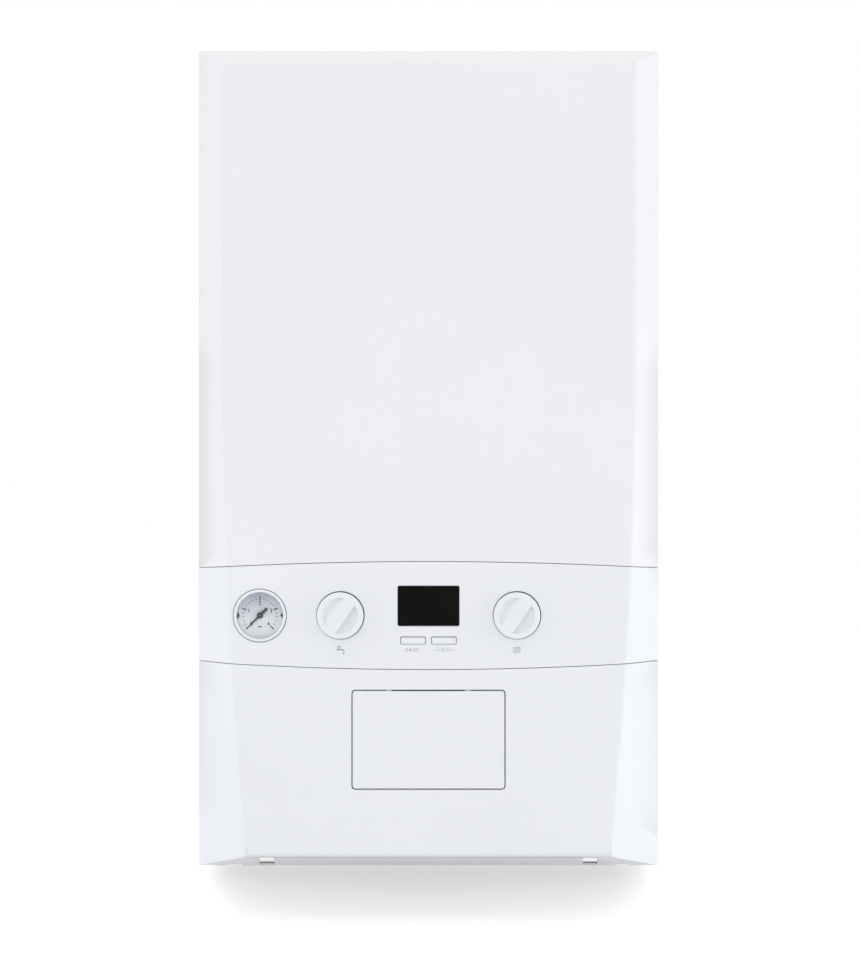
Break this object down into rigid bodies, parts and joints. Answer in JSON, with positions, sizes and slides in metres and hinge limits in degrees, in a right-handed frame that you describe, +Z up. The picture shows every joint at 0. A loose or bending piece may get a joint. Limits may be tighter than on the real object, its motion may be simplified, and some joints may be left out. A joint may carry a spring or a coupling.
{
  "type": "combi boiler",
  "caption": "White wall-hung combi boiler: bevelled front panel, drop-down control box with pressure gauge, knobs and display, sealed burner chamber, pump, heat exchangers and pipe tails.",
  "frame": {"origin": "on the wall plane, on the centre line, at the middle of the wall bracket's back face", "axes": "+X to the right seen from the front, +Y into the wall, +Z up; the front faces -Y"},
  "size_m": [0.395, 0.278, 0.706],
  "materials": {
    "white_paint": "white powder-coated sheet steel, slight orange peel",
    "white_moulding": "white moulded plastic, satin",
    "galvanised": "galvanised sheet steel",
    "cast_aluminium": "as-cast aluminium",
    "stainless": "stainless steel",
    "copper": "drawn copper tube",
    "brass": "turned brass",
    "black_moulding": "black moulded plastic",
    "grey_moulding": "grey moulded plastic",
    "vessel_paint": "grey painted steel",
    "foam": "black foam seal",
    "rubber": "black rubber hose",
    "circuit": "green circuit board",
    "dark_window": "glossy black window",
    "clear_window": "clear window",
    "red_moulding": "red moulded plastic",
    "ceramic": "glazed ceramic"
  },
  "bodies": {
    "case": {"side_panel_right": "white_paint", "side_panel_left": "white_paint", "top_panel": "white_paint", "condensate_trap": "white_moulding", "wall_bracket": "galvanised", "back_panel": "galvanised", "chamber_floor": "galvanised", "pipe_rail": "galvanised", "hinge_bracket_right": "galvanised", "hinge_bracket_left": "galvanised", "heat_exchanger": "cast_aluminium", "burner_hood": "cast_aluminium", "fan_housing": "cast_aluminium", "pump_motor": "cast_aluminium", "gas_valve": "cast_aluminium", "burner": "stainless", "plate_heat_exchanger": "stainless", "flow_pipe": "copper", "return_pipe": "copper", "gas_pipe": "copper", "connection_ch_flow": "brass", "connection_dhw_outlet": "brass", "connection_gas": "brass", "connection_cold_inlet": "brass", "connection_ch_return": "brass", "relief_valve": "brass", "fan_motor": "black_moulding", "venturi": "black_moulding", "sump": "black_moulding", "flow_manifold": "black_moulding", "pump_housing": "black_moulding", "flue_collar": "grey_moulding", "flue_manifold": "grey_moulding", "diverter_actuator": "grey_moulding", "expansion_vessel": "vessel_paint", "vessel_hose": "rubber", "ignition_electrode": "ceramic", "flame_electrode": "ceramic"},
    "front_panel": {"front_panel": "white_paint"},
    "sealing_panel": {"sealing_panel": "galvanised", "sight_glass": "clear_window", "chamber_gasket": "foam"},
    "control_box": {"control_fascia": "white_moulding", "lower_fascia": "white_moulding", "control_housing": "black_moulding", "fascia_screw_left": "stainless", "fascia_screw_right": "stainless", "main_board": "circuit", "display_board": "circuit", "display_lens": "dark_window", "gauge_case": "white_moulding", "gauge_glass": "clear_window"},
    "timer_blank": {"timer_blank": "white_moulding"},
    "dhw_knob": {"dhw_knob": "white_moulding"},
    "ch_knob": {"ch_knob": "white_moulding"},
    "mode_button": {"mode_button": "white_moulding"},
    "restart_button": {"restart_button": "white_moulding"},
    "gauge_needle": {"gauge_needle": "black_moulding"},
    "fan_impeller": {"fan_impeller": "black_moulding"},
    "relief_knob": {"relief_knob": "red_moulding"}
  },
  "joints": [
    {"name": "front_panel_pull", "type": "slide", "parent": "case", "child": "front_panel", "axis": [0, -1, 0], "range_m": [0, 0.4]},
    {"name": "sealing_panel_pull", "type": "slide", "parent": "case", "child": "sealing_panel", "axis": [0, -1, 0], "range_m": [0, 0.2]},
    {"name": "control_box_tilt", "type": "hinge", "parent": "case", "child": "control_box", "pos_m": [0, -0.232, -0.634], "axis": [1, 0, 0], "range_deg": [0, 90]},
    {"name": "timer_blank_pull", "type": "slide", "parent": "control_box", "child": "timer_blank", "axis": [0, -1, 0], "range_m": [0, 0.03]},
    {"name": "dhw_knob_turn", "type": "hinge", "parent": "control_box", "child": "dhw_knob", "pos_m": [-0.0754, -0.272, -0.4244], "axis": [0, -1, 0], "range_deg": [-99, 171]},
    {"name": "ch_knob_turn", "type": "hinge", "parent": "control_box", "child": "ch_knob", "pos_m": [0.0754, -0.272, -0.4244], "axis": [0, -1, 0], "range_deg": [-99, 171]},
    {"name": "mode_button_press", "type": "slide", "parent": "control_box", "child": "mode_button", "axis": [0, 1, 0], "range_m": [0, 0.0012], "stiffness_N_per_m": 300},
    {"name": "restart_button_press", "type": "slide", "parent": "control_box", "child": "restart_button", "axis": [0, 1, 0], "range_m": [0, 0.0012], "stiffness_N_per_m": 300},
    {"name": "gauge_needle_turn", "type": "hinge", "parent": "control_box", "child": "gauge_needle", "pos_m": [-0.144, -0.272, -0.4244], "axis": [0, -1, 0], "range_deg": [-270, 0], "stiffness_Nm_per_rad": 0.00002},
    {"name": "fan_spin", "type": "hinge", "parent": "case", "child": "fan_impeller", "pos_m": [0.118, -0.15, -0.06], "axis": [0, 0, 1], "continuous": true},
    {"name": "relief_knob_turn", "type": "hinge", "parent": "case", "child": "relief_knob", "pos_m": [0.172, -0.123, -0.545], "axis": [0, -1, 0], "range_deg": [0, 90]}
  ],
  "couplings": [
    {"joint": "sealing_panel_pull", "follows": "front_panel_pull", "ratio": 0.5}
  ]
}
